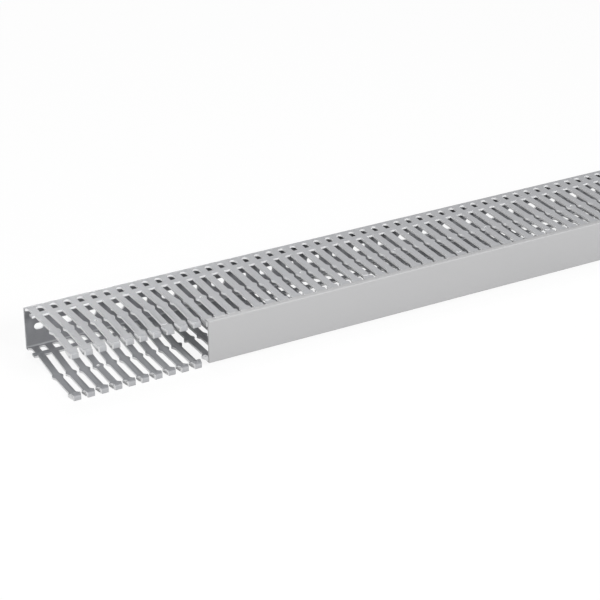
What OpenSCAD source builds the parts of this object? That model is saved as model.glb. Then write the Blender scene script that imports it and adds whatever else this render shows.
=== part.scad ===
// Slotted wiring duct with a clip-on cover, rigid PVC, lying on one comb wall.
// +X runs along the duct, +Y is the mounting side, the open side faces -Y, +Z is up.
// The origin is on the floor, under the middle of the duct with its cover as it stands.
// Comb walls are drawn by depth (from the mounting face towards the open side)
// and inset (from the outer face of the wall towards the wires).

/* [Duct] */
// Length of the duct, and of the cover
duct_length = 1000; // [250:50:2000]
// Outside width of the base, from comb wall to comb wall
duct_width = 40.5; // [36:0.5:120]
// Height from the mounting face to the face of the cover
duct_height = 101.8; // [90:0.2:140]
// Thickness of the base and of the comb walls
wall = 2; // [1.8:0.1:2.4]

/* [Comb] */
// Distance from one slot to the next
pitch = 12.5; // [12:0.5:16]
// Width of a slot between two fingers
slot_width = 6.3; // [5:0.1:7]
// Depth at which the slots begin, measured from the mounting face
slot_start = 20; // [18:1:24]
// Depth of the pinch, where rounded bulges narrow the slot
pinch_depth = 56; // [45:1:60]
// Length of the pinch along the slot
pinch_length = 9.5; // [8:0.5:14]
// Gap left between two bulges
pinch_gap = 2.4; // [1.5:0.1:4]
// Gap left between two finger tips
tip_gap = 2.4; // [1:0.1:4]
// Length of the wide finger tips
tip_length = 10.7; // [9:0.1:12]
// Width of a finger tip at its very end
tip_end_width = 6.3; // [5:0.1:8]
// Outward lean of the fingers that the cover leaves free, in degrees
finger_flare = 2.6; // [0:0.2:4]

/* [Finger bead] */
// Depth of the bead along the finger tips, across the wall
bead_depth = 6.3; // [5:0.1:7]
// Length of the bead, from the end of the finger
bead_length = 4.5; // [4:0.1:6]
// Length of the slope that runs from the bead to the wall
bead_slope = 3.5; // [2:0.1:5]
// Diameter of the hollow that runs through the bead
bead_hollow = 1.6; // [0.8:0.1:2]
// Distance from the end of the finger to the middle of the hollow
hollow_back = 3.3; // [2.4:0.1:3.6]
// Distance from the inner face of the bead to the middle of the hollow
hollow_in = 1.6; // [1.4:0.1:2]

/* [Punched holes] */
// Width of the arched hole behind each slot
arch_width = 6.2; // [4:0.1:7]
// Length of the arched hole
arch_length = 10; // [8:0.5:12]
// Distance from the mounting face to the arched hole
arch_edge = 4.2; // [4:0.1:6]
// Diameter of the clip hole in every eighth finger
clip_hole = 3; // [2:0.5:4]
// Length of the long mounting slots in the base
long_slot_length = 14; // [10:1:18]
// Width of the long mounting slots
long_slot_width = 7; // [5:0.5:8]
// Length of the short mounting slots in the base
short_slot_length = 9; // [7:1:12]
// Width of the short mounting slots
short_slot_width = 6; // [4:0.5:7]

/* [Cover] */
// Thickness of the cover's face
cover_face = 2; // [1.6:0.1:2.4]
// Thickness of the cover's legs
cover_leg = 1; // [0.8:0.1:1.4]
// Reach of a leg from the face of the cover
leg_reach = 6; // [5.5:0.1:7]
// Height of the catch along the end of a leg
catch_height = 0.4; // [0.3:0.1:0.8]
// Free space between the cover and the fingers
cover_gap = 0.2; // [0.15:0.05:0.4]
// Rounding of the cover's long edges
cover_round = 1; // [0.5:0.1:1.5]
// Distance that the cover is slid along the duct
cover_slide = 128; // [0:1:200]

/* [Hidden] */

duct_start = -(duct_length + cover_slide) / 2;
cover_start = duct_start + cover_slide;
slot_count = floor(duct_length / pitch);
open_slots = min(slot_count - 1, floor(cover_slide / pitch));

finger_end = duct_height - cover_face - cover_gap;
bend_depth = slot_start - wall;
neck_start = finger_end - tip_length;
tip_ramp = 2.7;
tip_flat = 1.5;

seat = cover_leg + cover_gap;
catch_end = duct_height - leg_reach;
catch_length = 1.1;
cover_grip = asin(seat / (catch_end - bend_depth));
edge = 0.6;
through = 1;
run_slots = max(open_slots, 1);
flare_drop = max([for (p = wall_section()) -leaned(p, finger_flare)[1]]);
floor_gap = open_slots > 0 ? flare_drop : 0;

gray_light = [0.70, 0.71, 0.71];

// Rounded bulge on one side of a slot: a crown between two hollow feet, all of them arcs
module pinch_outline() {
    rise = (slot_width - pinch_gap) / 2;
    reach = pinch_length / 2;
    foot_radius = (reach * reach + rise * rise) / (4 * rise);
    crown_radius = 1.08 * foot_radius;
    difference() {
        translate([slot_width / 2, pinch_depth])
            polygon([[1, -reach], [0, -reach], [-rise / 2, -reach / 2],
                     [-rise / 2, reach / 2], [0, reach], [1, reach]]);
        for (side = [-1, 1])
            translate([slot_width / 2 - foot_radius, pinch_depth + side * reach])
                circle(foot_radius, $fn = 64);
    }
    translate([slot_width / 2 - rise + crown_radius, pinch_depth])
        circle(crown_radius, $fn = 64);
}

// Outline of a slot seen square to the comb wall, with its mouth on the open side
module slot_outline() {
    half = slot_width / 2;
    mouth = (pitch - tip_end_width) / 2;
    difference() {
        polygon([
            [-half, slot_start], [half, slot_start],
            [half, neck_start],
            [tip_gap / 2, neck_start + tip_ramp],
            [tip_gap / 2, neck_start + tip_ramp + tip_flat],
            [mouth, finger_end],
            [mouth, finger_end + through],
            [-mouth, finger_end + through],
            [-mouth, finger_end],
            [-tip_gap / 2, neck_start + tip_ramp + tip_flat],
            [-tip_gap / 2, neck_start + tip_ramp],
            [-half, neck_start]
        ]);
        pinch_outline();
        mirror([1, 0])
            pinch_outline();
    }
}

// Arched hole: round towards the mounting face, flat towards the slot
module arch_outline() {
    radius = arch_width / 2;
    translate([0, arch_edge + radius]) {
        circle(radius, $fn = 48);
        translate([-radius, 0])
            square([arch_width, arch_length - radius]);
    }
}

// Slot with round ends along X, seen square to the base
module mounting_slot(slot_length, slot_width) {
    square([slot_length - slot_width, slot_width], center = true);
    for (side = [-1, 1])
        translate([side * (slot_length - slot_width) / 2, 0])
            circle(d = slot_width, $fn = 48);
}

// Turns a [depth, inset] point about the bend at the foot of the finger
function leaned(p, lean) =
    p[0] <= bend_depth ? p
    : [bend_depth + (p[0] - bend_depth) * cos(lean) + p[1] * sin(lean),
       p[1] * cos(lean) - (p[0] - bend_depth) * sin(lean)];

// Section of one comb wall as [depth, inset]: out along the outer face, over the
// groove for the catch and round the bead, then back along the inner face
function wall_section() = [
    [0, 0],
    [bend_depth, 0],
    [catch_end - cover_gap, 0],
    [catch_end - cover_gap, catch_height],
    [catch_end + catch_length + cover_gap, catch_height],
    [catch_end + catch_length + cover_gap + catch_height, 0],
    [finger_end - edge, 0],
    [finger_end, edge],
    [finger_end, bead_depth - edge],
    [finger_end - edge, bead_depth],
    [finger_end - bead_length, bead_depth],
    [finger_end - bead_length - bead_slope, wall],
    [bend_depth, wall],
    [wall, wall]
];

// Section of the whole duct, x = depth and y = height above the lower face
module duct_section(lean) {
    lower = [for (p = wall_section()) leaned(p, lean)];
    upper = [for (i = [len(lower) - 1 : -1 : 0]) [lower[i][0], duct_width - lower[i][1]]];
    hollow = leaned([finger_end - hollow_back, bead_depth - hollow_in], lean);
    difference() {
        polygon(concat(lower, upper));
        for (height = [hollow[1], duct_width - hollow[1]])
            translate([hollow[0], height])
                circle(d = bead_hollow, $fn = 32);
    }
}

// Stands a [depth, height] section up and draws it out along X
module draw_along(start, length) {
    translate([start, duct_height / 2, floor_gap])
        rotate([90, 0, 90])
            mirror([1, 0, 0])
                linear_extrude(length)
                    children();
}

// Punches an [along, depth] outline through both comb walls
module punch_walls(along) {
    translate([along, duct_height / 2, -through])
        linear_extrude(2 * floor_gap + duct_width + 2 * through)
            mirror([0, 1])
                children();
}

// Punches an [along, height] outline through the base
module punch_base(along) {
    translate([along, duct_height / 2 + through, floor_gap + duct_width / 2])
        rotate([90, 0, 0])
            linear_extrude(wall + 2 * through)
                children();
}

// Run of the trough from the middle of one slot to the middle of another
module trough_run(first, last) {
    lean = last <= open_slots ? finger_flare : -cover_grip;
    start = duct_start + first * pitch;
    difference() {
        draw_along(start, (last - first) * pitch)
            duct_section(lean);
        for (k = [first : last])
            punch_walls(duct_start + k * pitch) {
                slot_outline();
                arch_outline();
            }
        for (finger = [first + 1 : last])
            if (finger % 8 == 4)
                punch_walls(duct_start + (finger - 0.5) * pitch)
                    translate([0, pinch_depth])
                        circle(d = clip_hole, $fn = 48);
        for (k = [first : last]) {
            if (k % 4 == 1)
                punch_base(duct_start + k * pitch)
                    mounting_slot(short_slot_length, short_slot_width);
            if (k % 4 == 3)
                punch_base(duct_start + k * pitch)
                    mounting_slot(long_slot_length, long_slot_width);
        }
    }
}

// Trough with its two comb walls, cut to length through the middle of a slot
module duct() {
    color(gray_light)
        for (first = [0 : run_slots : slot_count - 1])
            trough_run(first, min(first + run_slots, slot_count));
}

// Half of the cover's section as [depth, inset], from the catch round to the face
function cover_half() = [
    [catch_end, cover_leg],
    [catch_end, 0.3],
    [catch_end + 0.3, 0],
    [duct_height - cover_round, 0],
    [duct_height - cover_round / 3, cover_round / 3],
    [duct_height, cover_round]
];

function cover_inner() = [
    [catch_end, cover_leg + 0.2],
    [catch_end + 0.3, cover_leg + catch_height],
    [catch_end + catch_length, cover_leg + catch_height],
    [catch_end + catch_length + catch_height, cover_leg],
    [duct_height - cover_face, cover_leg]
];

// Flat cover whose two legs catch behind the finger tips
module cover() {
    outer = cover_half();
    inner = cover_inner();
    upper_outer = [for (i = [len(outer) - 1 : -1 : 1]) [outer[i][0], duct_width - outer[i][1]]];
    upper_inner = [for (p = inner) [p[0], duct_width - p[1]]];
    lower_inner = [for (i = [len(inner) - 1 : -1 : 0]) inner[i]];
    lower_outer = [for (i = [1 : len(outer) - 1]) outer[i]];
    color(gray_light)
        draw_along(cover_start, duct_length)
            polygon(concat(lower_outer, upper_outer, upper_inner, lower_inner));
}

duct();
cover();
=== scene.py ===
import math
import bmesh
import bpy
from mathutils import Matrix, Vector


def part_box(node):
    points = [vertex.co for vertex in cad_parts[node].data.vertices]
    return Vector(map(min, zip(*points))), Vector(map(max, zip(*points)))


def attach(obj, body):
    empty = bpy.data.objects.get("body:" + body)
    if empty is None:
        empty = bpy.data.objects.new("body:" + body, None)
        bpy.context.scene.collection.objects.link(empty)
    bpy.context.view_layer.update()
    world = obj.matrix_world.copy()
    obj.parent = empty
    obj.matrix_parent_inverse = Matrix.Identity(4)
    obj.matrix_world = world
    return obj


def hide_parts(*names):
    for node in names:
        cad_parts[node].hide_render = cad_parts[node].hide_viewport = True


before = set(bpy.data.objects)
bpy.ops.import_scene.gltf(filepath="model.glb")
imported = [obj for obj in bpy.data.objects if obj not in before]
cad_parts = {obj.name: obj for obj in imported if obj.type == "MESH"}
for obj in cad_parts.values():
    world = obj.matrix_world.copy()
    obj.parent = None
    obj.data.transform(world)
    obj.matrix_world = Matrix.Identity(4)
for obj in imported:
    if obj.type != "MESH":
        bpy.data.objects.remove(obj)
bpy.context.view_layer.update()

# ---- The duct ---------------------------------------------------------------------------------
# Trough with two comb walls, extruded in one piece from light grey rigid PVC. The slots, the
# arched break-outs and the base slots are punched out afterwards, and the free fingers lean out.

# Sizes are in millimetres. Depth runs from the mounting face to the cover, inset from a comb
# wall's outer face inwards, and along from the near end.
MM = 0.001
PITCH = 12.5
WALL = 2.0
WIDTH = 40.5
HEIGHT = 101.8

# Slot between two fingers: pinched halfway, and narrow again between the tips.
SLOT_WIDTH = 6.3
SLOT_START = 20.0
PINCH_DEPTH = 56.0
PINCH_LENGTH = 9.5
PINCH_GAP = 2.4
TIP_GAP = 2.4
TIP_START = 88.2
TIP_FULL = 90.0
TIP_TAPER = 90.6
TIP_END_WIDTH = 6.3
FINGER_END = 99.5
SHOULDER_AFTER = 0.5
SHOULDER_BEFORE = 0.4

# Tip: thickened inwards to a bead with a round hollow, and a groove outside for the cover.
BEAD_START = 95.0
BEAD_DEPTH = 5.2
BEAD_ROUND = 1.1
TIP_EDGE = 0.6
GROOVE = 0.4
GROOVE_START = 95.6
GROOVE_FOOT = 97.1
GROOVE_END = 97.5
HOLLOW_DEPTH = 96.2
HOLLOW_INSET = 3.7
HOLLOW_RADIUS = 0.8

# Every eighth finger has a step behind its tip, and halfway between those one has a clip hole.
MARK_EVERY = 8
RECESS = 0.45
RECESS_START = 86.4
RECESS_BOW = 1.6
CLIP_RADIUS = 1.5

# Arched break-out at the foot of each slot, and the scored line that the fingers bend at.
ARCH_RADIUS = 3.1
ARCH_EDGE = 4.2
ARCH_END = 14.2
BEND_DEPTH = 18.0
SCORE = 0.5

# Base: its corners outside and inside, and each slot's middle, length and width.
CORNER_DEPTH = 3.0
CORNER_ROUND = 0.5
CORNER_FILLET = 1.0
RUN_PITCHES = 4
SHORT_SLOT = (PITCH, 9.0, 6.0)
LONG_SLOT = (3 * PITCH, 14.0, 7.0)

# Free fingers lean out and bow. The cover's catch draws the others in, a lever's length from
# the bend.
FREE_FINGERS = 10
UPPER_LEAN = math.radians(0.4)
LOWER_LEAN = math.radians(2.6)
BOW = 1.7
BOW_END = 90.0
GRIP_DRAW = 1.2
GRIP_LEVER = 77.8
LEAN_FADE = 3.0
BEND_CLEAR = 0.1

# Punched edges are a little soft. Points closer than the weld become one, slivers go, and edges
# turned by more than the sharp angle are shaded as edges.
PUNCH_EDGE = 0.14
PUNCH_ANGLE = math.radians(40)
SHARP_ANGLE = math.radians(32)
WELD = 0.01
SLIVER = 0.001

duct_low, duct_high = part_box("duct")
cover_low, cover_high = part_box("cover")
duct_length = duct_high.x - duct_low.x
pitches = round(duct_length / (PITCH * MM))
axis_z = (cover_low.z + cover_high.z) / 2
back_y = duct_high.y


def snap(*sizes):
    """Sizes rounded so that points that fall together are equal."""
    return tuple(round(size, 4) for size in sizes)


def arc(steps, sweep=math.pi / 2):
    """Angles of the points on an arc, from nought to its sweep."""
    return [sweep * i / steps for i in range(steps + 1)]


def around(loop):
    """Each point of a closed loop with the next one."""
    return zip(loop, loop[1:] + loop[:1])


def finger_half_width(depth):
    """Half the width of a finger at a depth: bulged at the pinch, wide at the tip."""
    plain = (PITCH - SLOT_WIDTH) / 2
    full = (PITCH - TIP_GAP) / 2
    end = TIP_END_WIDTH / 2
    if depth >= TIP_TAPER:
        return full + (end - full) * (depth - TIP_TAPER) / (FINGER_END - TIP_TAPER)
    if depth >= TIP_START:
        return plain + (full - plain) * min(1, (depth - TIP_START) / (TIP_FULL - TIP_START))
    offset = abs(depth - PINCH_DEPTH) / (PINCH_LENGTH / 2)
    if offset < 1:
        return plain + (SLOT_WIDTH - PINCH_GAP) / 4 * (1 + math.cos(math.pi * offset))
    return plain


def finger_depths():
    """Depths at which the side of a finger gets a point, up to its full width at the tip."""
    steps = 12
    bulge = [PINCH_DEPTH + PINCH_LENGTH * (i / steps - 0.5) for i in range(steps + 1)]
    return [SLOT_START, *bulge, TIP_START, TIP_START + SHOULDER_AFTER,
            TIP_FULL - SHOULDER_BEFORE, TIP_FULL]


def arch_side(sign):
    """Half of an arched hole, on the edge of one cell, from its round end to its flat end."""
    centre = ARCH_EDGE + ARCH_RADIUS
    points = [(sign * (PITCH / 2 - ARCH_RADIUS * math.sin(turn)),
               centre - ARCH_RADIUS * math.cos(turn)) for turn in arc(steps=8)]
    points.append((sign * (PITCH / 2 - ARCH_RADIUS), ARCH_END))
    points.append((sign * PITCH / 2, ARCH_END))
    return points


def bead_section(recess):
    """Section of a tip as (depth, inset): along its outer face, round the bead and back inside."""
    points = [(TIP_FULL, recess), (TIP_TAPER, recess), (GROOVE_START, recess),
              (GROOVE_START, GROOVE), (GROOVE_FOOT, GROOVE), (GROOVE_END, recess)]
    points += [(FINGER_END - TIP_EDGE + TIP_EDGE * math.sin(turn),
                max(recess, TIP_EDGE - TIP_EDGE * math.cos(turn))) for turn in arc(steps=4)]
    points += [(FINGER_END - BEAD_ROUND + BEAD_ROUND * math.cos(turn),
                BEAD_DEPTH - BEAD_ROUND + BEAD_ROUND * math.sin(turn)) for turn in arc(steps=4)]
    slope = WALL + (BEAD_DEPTH - WALL) * (TIP_TAPER - TIP_FULL) / (BEAD_START - TIP_FULL)
    points += [(BEAD_START, BEAD_DEPTH), (TIP_TAPER, slope), (TIP_FULL, WALL)]
    rounded = [snap(d, i) for d, i in points]
    return [p for k, p in enumerate(rounded) if k == 0 or p != rounded[k - 1]]


class Cell:
    """Mesh of one repeat of the duct, from points given as (along, depth, inset)."""

    def __init__(self):
        self.mesh = bmesh.new()
        self.punched = self.mesh.faces.layers.bool.new("punched")
        self.inside = self.mesh.faces.layers.bool.new("inside")
        self.points = {}

    def point(self, along, depth, inset):
        """The mesh's point at a place, made once and shared by every face that meets there."""
        key = snap(along, depth, inset)
        if key not in self.points:
            place = (along * MM, (HEIGHT / 2 - depth) * MM, (WIDTH / 2 - inset) * MM)
            self.points[key] = self.mesh.verts.new(place)
        return self.points[key]

    def mark(self, face, punched, inside):
        """Marks a face as punched, painted near white as highlight, and as inside, painted darker
        as shade.
        """
        face[self.punched] = punched
        face[self.inside] = inside

    def face(self, places, punched=False, inside=False):
        """One face through its places, where places that fall together count once."""
        corners = []
        for place in places:
            corner = self.point(*place)
            if corner not in corners:
                corners.append(corner)
        if len(corners) > 2 and not self.mesh.faces.get(corners):
            self.mark(self.mesh.faces.new(corners), punched, inside)

    def fill(self, loops, punched=False, inside=False):
        """A flat face with holes, from an outer loop and the loops of its holes."""
        edges = []
        for loop in loops:
            for p, q in around([self.point(*place) for place in loop]):
                edges.append(self.mesh.edges.get((p, q)) or self.mesh.edges.new((p, q)))
        for made in bmesh.ops.triangle_fill(self.mesh, edges=edges, use_beauty=True)["geom"]:
            if isinstance(made, bmesh.types.BMFace):
                self.mark(made, punched, inside)

    def plate(self, outlines, open_edge):
        """A flat plate from outlines in (along, depth), each with the inset of its outer face.
        Edges get walls where they aren't open, and a step where two outer faces differ."""
        uses = {}
        for outline, outer in outlines:
            self.face([(a, d, outer) for a, d in outline])
            # Inner faces take the darker inside colour, painted shade.
            self.face([(a, d, WALL) for a, d in reversed(outline)], inside=True)
            for p, q in around(outline):
                uses.setdefault(frozenset((p, q)), []).append((p, q, outer))
        for edge in uses.values():
            (a, d), (b, e), outer = edge[0]
            under = edge[1][2] if len(edge) == 2 else WALL
            if under != outer and (len(edge) == 2 or not open_edge(a, d, b, e)):
                self.face([(b, e, outer), (a, d, outer), (a, d, under), (b, e, under)],
                          punched=True)

    def finish(self, name):
        """Softens the punched edges and hands the mesh over as an object outside the scene."""
        bm = self.mesh
        bmesh.ops.recalc_face_normals(bm, faces=bm.faces)
        sharp = [e for e in bm.edges
                 if len(e.link_faces) == 2 and e.calc_face_angle(0) > PUNCH_ANGLE]
        bmesh.ops.bevel(bm, geom=sharp, offset=PUNCH_EDGE * MM, segments=1, affect="EDGES",
                        clamp_overlap=True)
        mesh = bpy.data.meshes.new(name)
        bm.to_mesh(mesh)
        bm.free()
        return bpy.data.objects.new(name, mesh)


def finger_outlines(clip_hole, recess):
    """Outlines of the flat part of a finger, half by half, with its clip hole or stepped tip."""
    outlines = []
    for sign in (1, -1):
        depths = finger_depths()
        middle = [(0.0, TIP_FULL)]
        if recess:
            half = sign * finger_half_width(RECESS_START)
            middle = [(half * share, RECESS_START + RECESS_BOW * (1 - share * share))
                      for share in (1.0, 0.8, 0.6, 0.4, 0.2, 0.0)]
            side = [(sign * finger_half_width(d), d) for d in depths if d > RECESS_START]
            outlines.append((middle[::-1] + side + [(0.0, TIP_FULL)], recess))
            depths = [d for d in depths if d < RECESS_START]
        if clip_hole:
            middle += [(sign * CLIP_RADIUS * math.sin(turn),
                        PINCH_DEPTH + CLIP_RADIUS * math.cos(turn))
                       for turn in arc(steps=10, sweep=math.pi)]
        middle.append((0.0, SLOT_START))
        outlines.append(([(sign * finger_half_width(d), d) for d in depths] + middle, 0.0))
    return outlines


def add_tip(cell, recess):
    """The end of a finger beyond its full width: its skin, its punched sides and its hollow."""
    def at_side(sign, point):
        return (sign * finger_half_width(point[0]), *point)

    section = bead_section(recess)
    for p, q in zip(section, section[1:]):
        # Faces deep on the bead's inner side take the darker inside colour, painted shade.
        inner = min(p[1], q[1]) > BEAD_DEPTH - BEAD_ROUND
        for sign in (1, -1):
            cell.face([(0.0, *p), at_side(sign, p), at_side(sign, q), (0.0, *q)], inside=inner)
    foot = [p for p in section if p[0] <= TIP_TAPER]
    front = [p for p in section if p[0] >= TIP_TAPER]
    ring = [snap(HOLLOW_DEPTH + HOLLOW_RADIUS * math.cos(turn),
                 HOLLOW_INSET + HOLLOW_RADIUS * math.sin(turn))
            for turn in arc(steps=16, sweep=math.tau)[:-1]]
    for sign in (1, -1):
        cell.face([at_side(sign, p) for p in foot], punched=True)
        cell.fill([[at_side(sign, p) for p in loop] for loop in (front, ring)], punched=True)
    for p, q in around(ring):
        cell.face([at_side(-1, p), at_side(1, p), at_side(1, q), at_side(-1, q)], punched=True)


def comb_cell(name, clip_hole=False, recess=0.0):
    """One finger with the bridge at its foot, from the middle of one slot to the middle of the
    next, and the score line on its inner face."""
    cell = Cell()
    edge = PITCH / 2
    half = (PITCH - SLOT_WIDTH) / 2
    near, far = BEND_DEPTH - SCORE, BEND_DEPTH + SCORE
    bridge = [(-edge, CORNER_DEPTH), (edge, CORNER_DEPTH), *arch_side(1), (edge, near),
              (-edge, near), *reversed(arch_side(-1))]
    root = [(-edge, far), (edge, far), (edge, SLOT_START), (half, SLOT_START),
            (0.0, SLOT_START), (-half, SLOT_START), (-edge, SLOT_START)]
    outlines = [(bridge, 0.0), (root, 0.0), *finger_outlines(clip_hole, recess)]
    outlines = [([snap(a, d) for a, d in outline], outer) for outline, outer in outlines]
    open_depths = (CORNER_DEPTH, near, far, TIP_FULL)

    def open_edge(a, d, b, e):
        return abs(a) == abs(b) == edge or (d == e and d in open_depths)

    cell.plate(outlines, open_edge)
    cell.face([(-edge, near, 0.0), (edge, near, 0.0), (edge, far, 0.0), (-edge, far, 0.0)])
    # The score's near face takes the darker inside colour and its far face the skin colour: a
    # painted dark and light line along the crease.
    for depth in (near, far):
        cell.face([(-edge, depth, WALL), (edge, depth, WALL), (edge, BEND_DEPTH, WALL - SCORE),
                   (-edge, BEND_DEPTH, WALL - SCORE)], inside=depth == near)
    add_tip(cell, recess)
    return cell.finish(name)


def slot_loop(middle, length, width):
    """Outline of a base slot with round ends, as (along, inset)."""
    steps = 10
    radius = width / 2
    loop = []
    for side, start in ((1, -90), (-1, 90)):
        for i in range(steps + 1):
            turn = math.radians(start + 180 * i / steps)
            loop.append((middle + side * (length / 2 - radius) + radius * math.cos(turn),
                         WIDTH / 2 + radius * math.sin(turn)))
    return loop


def base_cell(name):
    """A run of the base with both its corners, a short slot and a long slot."""
    cell = Cell()
    outer, inner = [(CORNER_DEPTH, 0.0)], [(CORNER_DEPTH, WALL)]
    for turn in arc(steps=4):
        outer.append((CORNER_ROUND - CORNER_ROUND * math.sin(turn),
                      CORNER_ROUND - CORNER_ROUND * math.cos(turn)))
        inner.append((CORNER_DEPTH - CORNER_FILLET * math.sin(turn),
                      WALL + CORNER_FILLET - CORNER_FILLET * math.cos(turn)))
    ends = [k * PITCH for k in range(RUN_PITCHES + 1)]

    def strips(section):
        for (d, i), (e, j) in zip(section, section[1:]):
            for a, b in zip(ends, ends[1:]):
                cell.face([(a, d, i), (b, d, i), (b, e, j), (a, e, j)])

    slot_loops = [slot_loop(*SHORT_SLOT), slot_loop(*LONG_SLOT)]
    # The base's inner face takes the darker inside colour, painted shade; the inner fillet strips
    # keep the skin colour and show lighter beside it.
    for depth, margin in ((0.0, CORNER_ROUND), (WALL, WALL + CORNER_FILLET)):
        rim = [(a, margin) for a in ends] + [(a, WIDTH - margin) for a in reversed(ends)]
        cell.fill([[(a, depth, i) for a, i in loop] for loop in (rim, *slot_loops)],
                  inside=depth > 0)
    for loop in slot_loops:
        for (a, i), (b, j) in around(loop):
            cell.face([(a, 0.0, i), (b, 0.0, j), (b, WALL, j), (a, WALL, i)], punched=True)
    for section in (outer, inner):
        strips(section)
        strips([(d, WIDTH - i) for d, i in section])
    return cell.finish(name)


def node_adder(tree):
    """Gives a function that adds a node to a tree, with its inputs set or linked."""
    def add(kind, inputs=None, **settings):
        node = tree.nodes.new(kind)
        for key, value in settings.items():
            setattr(node, key, value)
        for socket, source in (inputs or {}).items():
            if isinstance(source, bpy.types.NodeSocket):
                tree.links.new(source, node.inputs[socket])
            else:
                node.inputs[socket].default_value = source
        return node
    return add


def add_repeat_tree():
    """Geometry nodes that lay the cells out along the duct, lean the fingers and join it all."""
    tree = bpy.data.node_groups.new("duct from its cells", "GeometryNodeTree")
    labels = {
        "Object": ("Plain finger", "Clip finger", "Stepped finger", "Base run"),
        "Int": ("Fingers", "Mark every", "Run pitches"),
        "Float": ("Pitch", "Start", "Upper lean", "Lower lean", "Grip", "Lean end", "Lean fade",
                  "Bow", "Bow end", "Bend", "Bend clear", "Half width", "Weld"),
        "Material": ("Skin", "Inside", "Punched")}
    for way in ("INPUT", "OUTPUT"):
        tree.interface.new_socket(name="Geometry", in_out=way, socket_type="NodeSocketGeometry")
    for kind, names in labels.items():
        for label in names:
            tree.interface.new_socket(name=label, in_out="INPUT", socket_type="NodeSocket" + kind)
    given = tree.nodes.new("NodeGroupInput").outputs
    add = node_adder(tree)

    def maths(operation, a, b=0.0):
        return add("ShaderNodeMath", {0: a, 1: b}, operation=operation).outputs[0]

    def is_equal(a, b):
        """Whether two whole numbers are the same."""
        return add("FunctionNodeCompare", {0: a, 1: b, "Epsilon": 0.1},
                   operation="EQUAL").outputs[0]

    def vector(**parts):
        return add("ShaderNodeCombineXYZ", parts).outputs[0]

    def row_of(count, start, step):
        return add("GeometryNodeMeshLine", {
            "Count": count, "Start Location": vector(X=start), "Offset": vector(X=step)},
            mode="OFFSET").outputs[0]

    # Fingers stand in the middle of their pitch: upper wall first, lower wall turned half round.
    middle = maths("ADD", given["Start"], maths("MULTIPLY", given["Pitch"], 0.5))
    fingers = row_of(given["Fingers"], middle, given["Pitch"])
    number = maths("ADD", add("GeometryNodeInputIndex").outputs[0], 1.0)
    count = maths("MODULO", number, given["Mark every"])
    is_clip = is_equal(count, maths("DIVIDE", given["Mark every"], 2.0))
    is_step = is_equal(count, 0.0)
    is_plain = add("FunctionNodeBooleanMath", {0: is_clip, 1: is_step}, operation="NOR").outputs[0]
    base_step = maths("MULTIPLY", given["Pitch"], given["Run pitches"])
    base_runs = row_of(maths("DIVIDE", given["Fingers"], given["Run pitches"]), given["Start"],
                       base_step)
    chosen_by = {"Plain finger": is_plain, "Clip finger": is_clip, "Stepped finger": is_step}
    rows = [(fingers, label, {"Selection": chosen, "Rotation": (0.0, turn, 0.0)})
            for turn in (0.0, math.pi) for label, chosen in chosen_by.items()]
    rows.append((base_runs, "Base run", {}))
    join = tree.nodes.new("GeometryNodeJoinGeometry")
    for points, label, choice in rows:
        shape = add("GeometryNodeObjectInfo", {"Object": given[label]}).outputs["Geometry"]
        placed = add("GeometryNodeInstanceOnPoints", {
            "Points": points, "Instance": shape, **choice})
        tree.links.new(placed.outputs[0], join.inputs[0])
    solid = add("GeometryNodeRealizeInstances", {"Geometry": join.outputs[0]}).outputs[0]
    merged = add("GeometryNodeMergeByDistance", {
        "Geometry": solid, "Distance": given["Weld"]}).outputs[0]

    # Free fingers lean out and bow, covered ones are drawn in, and both turn at the bend.
    place = add("GeometryNodeInputPosition").outputs[0]
    part = add("ShaderNodeSeparateXYZ", {0: place}).outputs
    free = add("ShaderNodeMapRange", {
        "Value": part["X"], "To Min": 1.0, "To Max": 0.0,
        "From Min": maths("SUBTRACT", given["Lean end"], given["Lean fade"]),
        "From Max": maths("ADD", given["Lean end"], given["Lean fade"])}).outputs[0]
    side = maths("SIGN", part["Z"])
    is_upper = maths("GREATER_THAN", side, 0.0)
    spread = maths("SUBTRACT", given["Upper lean"], given["Lower lean"])
    lean = maths("ADD", given["Lower lean"], maths("MULTIPLY", is_upper, spread))
    lean = maths("MULTIPLY", maths("ADD", lean, given["Grip"]), free)
    lean = maths("SUBTRACT", lean, given["Grip"])
    angle = maths("MULTIPLY", maths("MULTIPLY", lean, side), -1.0)
    share = add("ShaderNodeMapRange", {
        "Value": part["Y"], "From Min": given["Bend"], "From Max": given["Bow end"],
        "To Max": math.pi}).outputs[0]
    swell = maths("MULTIPLY", maths("POWER", maths("SINE", share), 2.0), given["Bow"])
    bow = vector(Z=maths("MULTIPLY", swell, maths("MULTIPLY", free, side)))
    bowed = add("ShaderNodeVectorMath", {0: place, 1: bow}, operation="ADD").outputs[0]
    hinge = vector(Y=given["Bend"], Z=maths("MULTIPLY", side, given["Half width"]))
    leaned = add("ShaderNodeVectorRotate", {"Vector": bowed, "Center": hinge, "Angle": angle},
                 rotation_type="X_AXIS").outputs[0]
    beyond = add("FunctionNodeCompare", {
        0: part["Y"], 1: maths("SUBTRACT", given["Bend"], given["Bend clear"])},
        operation="LESS_THAN").outputs[0]
    bent = add("GeometryNodeSetPosition", {
        "Geometry": merged, "Selection": beyond, "Position": leaned}).outputs[0]

    # Inner faces get the darker material, painted shade, and punched faces the near-white one,
    # painted highlight.
    skin = add("GeometryNodeSetMaterial", {"Geometry": bent, "Material": given["Skin"]}).outputs[0]
    for name, label in (("inside", "Inside"), ("punched", "Punched")):
        mark = add("GeometryNodeInputNamedAttribute", {"Name": name}, data_type="BOOLEAN")
        skin = add("GeometryNodeSetMaterial", {
            "Geometry": skin, "Selection": mark.outputs["Attribute"],
            "Material": given[label]}).outputs[0]
    tree.links.new(skin, tree.nodes.new("NodeGroupOutput").inputs[0])
    return tree


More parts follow.
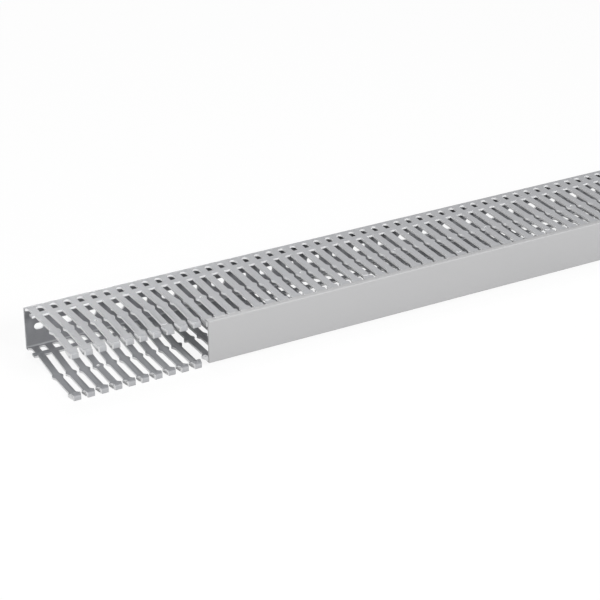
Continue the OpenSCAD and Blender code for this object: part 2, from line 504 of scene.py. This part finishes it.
def pvc(name, light, dark, roughness, streak):
    """Rigid PVC: faint lengthwise extrusion streaks, soft clouding, a mottle and fine pores."""
    material = bpy.data.materials.new(name)
    material.use_nodes = True
    tree = material.node_tree
    add = node_adder(tree)
    place = add("ShaderNodeTexCoord").outputs["Object"]

    def noise(scale, detail, stretch=(1.0, 1.0, 1.0)):
        drawn_out = add("ShaderNodeMapping", {"Vector": place, "Scale": stretch}).outputs[0]
        return add("ShaderNodeTexNoise", {
            "Vector": drawn_out, "Scale": scale, "Detail": detail}).outputs["Fac"]

    def bump(strength, distance, **inputs):
        return add("ShaderNodeBump", {
            "Strength": strength, "Distance": distance * MM, **inputs}).outputs[0]

    streaks = noise(scale=1.0, detail=3.0, stretch=(2.0, 900.0, 900.0))
    clouds = noise(scale=28.0, detail=2.0)
    grain = noise(scale=2600.0, detail=2.0)
    mottle = noise(scale=750.0, detail=1.0)
    cloud_share, mottle_share, satin = 0.6, 0.5, 0.06
    clouded = add("ShaderNodeMix", {0: cloud_share, 2: streaks, 3: clouds}).outputs[0]
    speckled = add("ShaderNodeMix", {0: mottle_share, 2: clouded, 3: mottle}).outputs[0]
    tone = add("ShaderNodeMix", {0: speckled, 6: (*dark, 1), 7: (*light, 1)}, data_type="RGBA")
    gloss = add("ShaderNodeMapRange", {
        "Value": grain, "To Min": roughness - satin, "To Max": roughness + satin})
    lines = bump(strength=streak, distance=0.1, Height=streaks)
    pores = bump(strength=0.2, distance=0.05, Height=grain, Normal=lines)
    shader = tree.nodes["Principled BSDF"]
    tree.links.new(tone.outputs[2], shader.inputs["Base Color"])
    tree.links.new(gloss.outputs[0], shader.inputs["Roughness"])
    tree.links.new(pores, shader.inputs["Normal"])
    shader.inputs["IOR"].default_value = 1.53
    return material


duct_skin = pvc("grey PVC skin", light=(0.455, 0.46, 0.475), dark=(0.405, 0.41, 0.425),
                roughness=0.46, streak=0.25)
# The inner faces are painted darker than the skin: painted shade of the channel's interior.
duct_inside_painted_shade = pvc("grey PVC inside, painted shade", light=(0.31, 0.315, 0.33), dark=(0.26, 0.265, 0.28),
                  roughness=0.5, streak=0.25)
# Punched faces are painted near white, a painted highlight standing for the brightly lit cut
# edges.
punched_edge_painted_highlight = pvc("punched PVC edge, painted highlight", light=(0.86, 0.86, 0.87), dark=(0.74, 0.745, 0.75),
                   roughness=0.6, streak=0.0)

inputs = {
    "Plain finger": comb_cell("plain finger"),
    "Clip finger": comb_cell("clip finger", clip_hole=True),
    "Stepped finger": comb_cell("stepped finger", recess=RECESS),
    "Base run": base_cell("base run"),
    "Fingers": pitches, "Mark every": MARK_EVERY, "Run pitches": RUN_PITCHES,
    "Pitch": PITCH * MM, "Start": duct_low.x, "Half width": WIDTH / 2 * MM, "Weld": WELD * MM,
    "Upper lean": UPPER_LEAN, "Lower lean": LOWER_LEAN, "Grip": math.asin(GRIP_DRAW / GRIP_LEVER),
    "Lean end": duct_low.x + FREE_FINGERS * PITCH * MM, "Lean fade": LEAN_FADE * MM,
    "Bow": BOW * MM, "Bow end": (HEIGHT / 2 - BOW_END) * MM,
    "Bend": (HEIGHT / 2 - BEND_DEPTH) * MM, "Bend clear": BEND_CLEAR * MM,
    "Skin": duct_skin, "Inside": duct_inside_painted_shade, "Punched": punched_edge_painted_highlight}
tree = add_repeat_tree()
holder = bpy.data.objects.new("duct_shape", bpy.data.meshes.new("duct_shape"))
bpy.context.scene.collection.objects.link(holder)
repeat = holder.modifiers.new("repeat", "NODES")
repeat.node_group = tree
for socket in tree.interface.items_tree:
    if socket.in_out == "INPUT" and socket.name in inputs:
        repeat[socket.identifier] = inputs[socket.name]
evaluated = holder.evaluated_get(bpy.context.evaluated_depsgraph_get())
mesh = bpy.data.meshes.new_from_object(evaluated)
bpy.data.objects.remove(holder)

# The cut ends are closed, slivers go, and the mesh moves to its place against the mounting face.
bm = bmesh.new()
bm.from_mesh(mesh)
cut_ends = [e for e in bm.edges if e.is_boundary]
bmesh.ops.holes_fill(bm, edges=cut_ends, sides=0)
bmesh.ops.dissolve_degenerate(bm, edges=bm.edges, dist=SLIVER * MM)
bmesh.ops.recalc_face_normals(bm, faces=bm.faces)
bm.transform(Matrix.Translation((0, back_y - HEIGHT / 2 * MM, axis_z)))
bm.to_mesh(mesh)
bm.free()
mesh.materials.pop(index=0)
mesh.shade_smooth()
mesh.set_sharp_from_angle(angle=SHARP_ANGLE)
duct = bpy.data.objects.new("duct_comb_walls", mesh)
bpy.context.scene.collection.objects.link(duct)
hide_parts("duct")
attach(duct, "duct")

# ---- The cover --------------------------------------------------------------------------------
# Flat lid extruded from the same PVC, left smooth. Its two short legs end in a small inward
# catch that grips the groove of the finger tips, and it stands slid along the duct.

# Leg: its thickness, reach and rounded end as (back from the end, inset), then the catch with
# its lead-in and ramp, and the roundings of the lid's outer and inner corners.
LEG = 1.0
LEG_REACH = 6.0
LEG_EDGE = ((0.3, 0.0), (0.1, 0.1), (0.0, 0.35))
CATCH = 0.4
CATCH_LEAD = 0.2
CATCH_START = 0.3
CATCH_END = 1.1
COVER_ROUND = 1.0
COVER_FILLET = 0.5
CUT_EDGE = 0.12
CUT_ANGLE = math.radians(80)
SAME_PLACE = 0.001


def cover_section():
    """Half of the section as (depth, inset): from the outer face round a leg to the inner face."""
    end = HEIGHT - LEG_REACH
    points = [(HEIGHT - COVER_ROUND + COVER_ROUND * math.cos(turn),
               COVER_ROUND - COVER_ROUND * math.sin(turn)) for turn in arc(steps=6)]
    points += [(end + depth, inset) for depth, inset in LEG_EDGE]
    points += [(end, LEG + CATCH_LEAD), (end + CATCH_START, LEG + CATCH),
               (end + CATCH_END, LEG + CATCH), (end + CATCH_END + CATCH, LEG)]
    points += [(HEIGHT - WALL - COVER_FILLET + COVER_FILLET * math.sin(turn),
                LEG + COVER_FILLET - COVER_FILLET * math.cos(turn)) for turn in arc(steps=6)]
    return points


bm = bmesh.new()
half_section = cover_section()
whole = half_section + [(d, WIDTH - i) for d, i in reversed(half_section)]
near_end = bm.faces.new([
    bm.verts.new((cover_low.x, back_y - d * MM, axis_z + (WIDTH / 2 - i) * MM)) for d, i in whole])
drawn = bmesh.ops.extrude_face_region(bm, geom=[near_end])
moved = [v for v in drawn["geom"] if isinstance(v, bmesh.types.BMVert)]
bmesh.ops.translate(bm, verts=moved, vec=(cover_high.x - cover_low.x, 0, 0))
bmesh.ops.recalc_face_normals(bm, faces=bm.faces)
rim = [e for e in bm.edges if len(e.link_faces) == 2 and e.calc_face_angle(0) > CUT_ANGLE
       and abs(e.verts[0].co.x - e.verts[1].co.x) < SAME_PLACE * MM]
bmesh.ops.bevel(bm, geom=rim, offset=CUT_EDGE * MM, segments=1, affect="EDGES",
                clamp_overlap=True)
mesh = bpy.data.meshes.new("cover_profile")
bm.to_mesh(mesh)
bm.free()
mesh.shade_smooth()
mesh.set_sharp_from_angle(angle=SHARP_ANGLE)
cover = bpy.data.objects.new("flat_cover", mesh)
bpy.context.scene.collection.objects.link(cover)
mesh.materials.append(pvc("smooth PVC cover", light=(0.49, 0.49, 0.495),
                          dark=(0.46, 0.46, 0.465), roughness=0.56, streak=0.12))
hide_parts("cover")
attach(cover, "cover")

# ---- The studio -------------------------------------------------------------------------------
# A wide matt white floor runs into a white surround. Large soft lamps stand in front, above, at
# the left and low behind, and one camera looks down on the near end from the front left.

FLOOR_HALF = 6.0
FLOOR_SEEN = (0.96, 0.96, 0.96, 1)
FLOOR_LIT = (0.35, 0.35, 0.35, 1)
FLOOR_WHITE = 0.9


def floor_material():
    """White floor: nearly plain white where it is seen, with the duct's soft shadow kept."""
    material = bpy.data.materials.new("white floor")
    material.use_nodes = True
    material.node_tree.nodes.clear()
    add = node_adder(material.node_tree)

    def maths(operation, a, b):
        return add("ShaderNodeMath", {0: a, 1: b}, operation=operation).outputs[0]

    rays = add("ShaderNodeLightPath").outputs
    mirrored = maths("MAXIMUM", rays["Is Glossy Ray"], rays["Is Transmission Ray"])
    seen = maths("MAXIMUM", rays["Is Camera Ray"], mirrored)
    tint = add("ShaderNodeMix", {0: seen, 6: FLOOR_LIT, 7: FLOOR_SEEN}, data_type="RGBA")
    matt = add("ShaderNodeBsdfDiffuse", {"Color": tint.outputs[2]})
    white = add("ShaderNodeEmission", {"Color": (1, 1, 1, 1)})
    surface = add("ShaderNodeMixShader", {
        0: maths("MULTIPLY", seen, FLOOR_WHITE), 1: matt.outputs[0], 2: white.outputs[0]})
    add("ShaderNodeOutputMaterial", {"Surface": surface.outputs[0]})
    return material


bm = bmesh.new()
bmesh.ops.create_grid(bm, x_segments=1, y_segments=1, size=FLOOR_HALF)
mesh = bpy.data.meshes.new("floor")
bm.to_mesh(mesh)
bm.free()
mesh.materials.append(floor_material())
floor = bpy.data.objects.new("floor", mesh)
bpy.context.scene.collection.objects.link(floor)

LAMPS_AIM = (-0.3, 0.0, 0.02)


def lamp(name, place, size, power):
    """Large round soft lamp at a place, turned towards the middle of the duct."""
    data = bpy.data.lights.new(name, "AREA")
    data.shape = "DISK"
    data.size = size
    data.energy = power
    lamp_object = bpy.data.objects.new(name, data)
    turn = (Vector(place) - Vector(LAMPS_AIM)).to_track_quat("Z", "Y")
    lamp_object.matrix_world = Matrix.Translation(place) @ turn.to_matrix().to_4x4()
    bpy.context.scene.collection.objects.link(lamp_object)


lamp("front lamp", place=(0.2, -2.0, 1.3), size=0.8, power=48)
lamp("top lamp", place=(-0.2, 0.9, 2.1), size=1.2, power=20)
lamp("left lamp", place=(-2.2, -0.7, 0.8), size=0.6, power=22)
lamp("back lamp", place=(0.3, 2.5, 0.3), size=0.6, power=14)

# The surround is white to the camera, and lights the duct only faintly.
SURROUND_SEEN = 1.0
SURROUND_LIGHT = 0.10

world = bpy.data.worlds.new("white surround")
bpy.context.scene.world = world
world.use_nodes = True
add = node_adder(world.node_tree)
background = world.node_tree.nodes["Background"]
background.inputs["Color"].default_value = (1, 1, 1, 1)
level = add("ShaderNodeMapRange", {
    "Value": add("ShaderNodeLightPath").outputs["Is Camera Ray"],
    "To Min": SURROUND_LIGHT, "To Max": SURROUND_SEEN})
world.node_tree.links.new(level.outputs[0], background.inputs["Strength"])

# The camera's place is given from the near lower corner of the base, across, up and back.
AZIMUTH = math.radians(-29.276)
ELEVATION = math.radians(27.196)
ROLL = math.radians(0.155)
FOCAL_SHARE = 1857.47 / 600
SENSOR = 36
DISTANCE = 1.624489
ACROSS = -0.239424
UP = -0.042373
VIEW_DEPTH = 50

back = Vector((math.sin(AZIMUTH) * math.cos(ELEVATION),
               -math.cos(AZIMUTH) * math.cos(ELEVATION), math.sin(ELEVATION)))
right = Vector((0, 0, 1)).cross(back).normalized()
up = back.cross(right)
rolled_right = right * math.cos(ROLL) + up * math.sin(ROLL)
rolled_up = up * math.cos(ROLL) - right * math.sin(ROLL)
corner = Vector((duct_low.x, back_y, cover_low.z))
place = corner - rolled_right * ACROSS - rolled_up * UP + back * DISTANCE
turn = Matrix((rolled_right, rolled_up, back)).transposed().to_4x4()
data = bpy.data.cameras.new("camera")
data.sensor_width = SENSOR
data.lens = SENSOR * FOCAL_SHARE
data.clip_end = VIEW_DEPTH
camera = bpy.data.objects.new("camera", data)
camera.matrix_world = Matrix.Translation(place) @ turn
bpy.context.scene.collection.objects.link(camera)
bpy.context.scene.camera = camera
bpy.context.scene.view_settings.view_transform = "Standard"
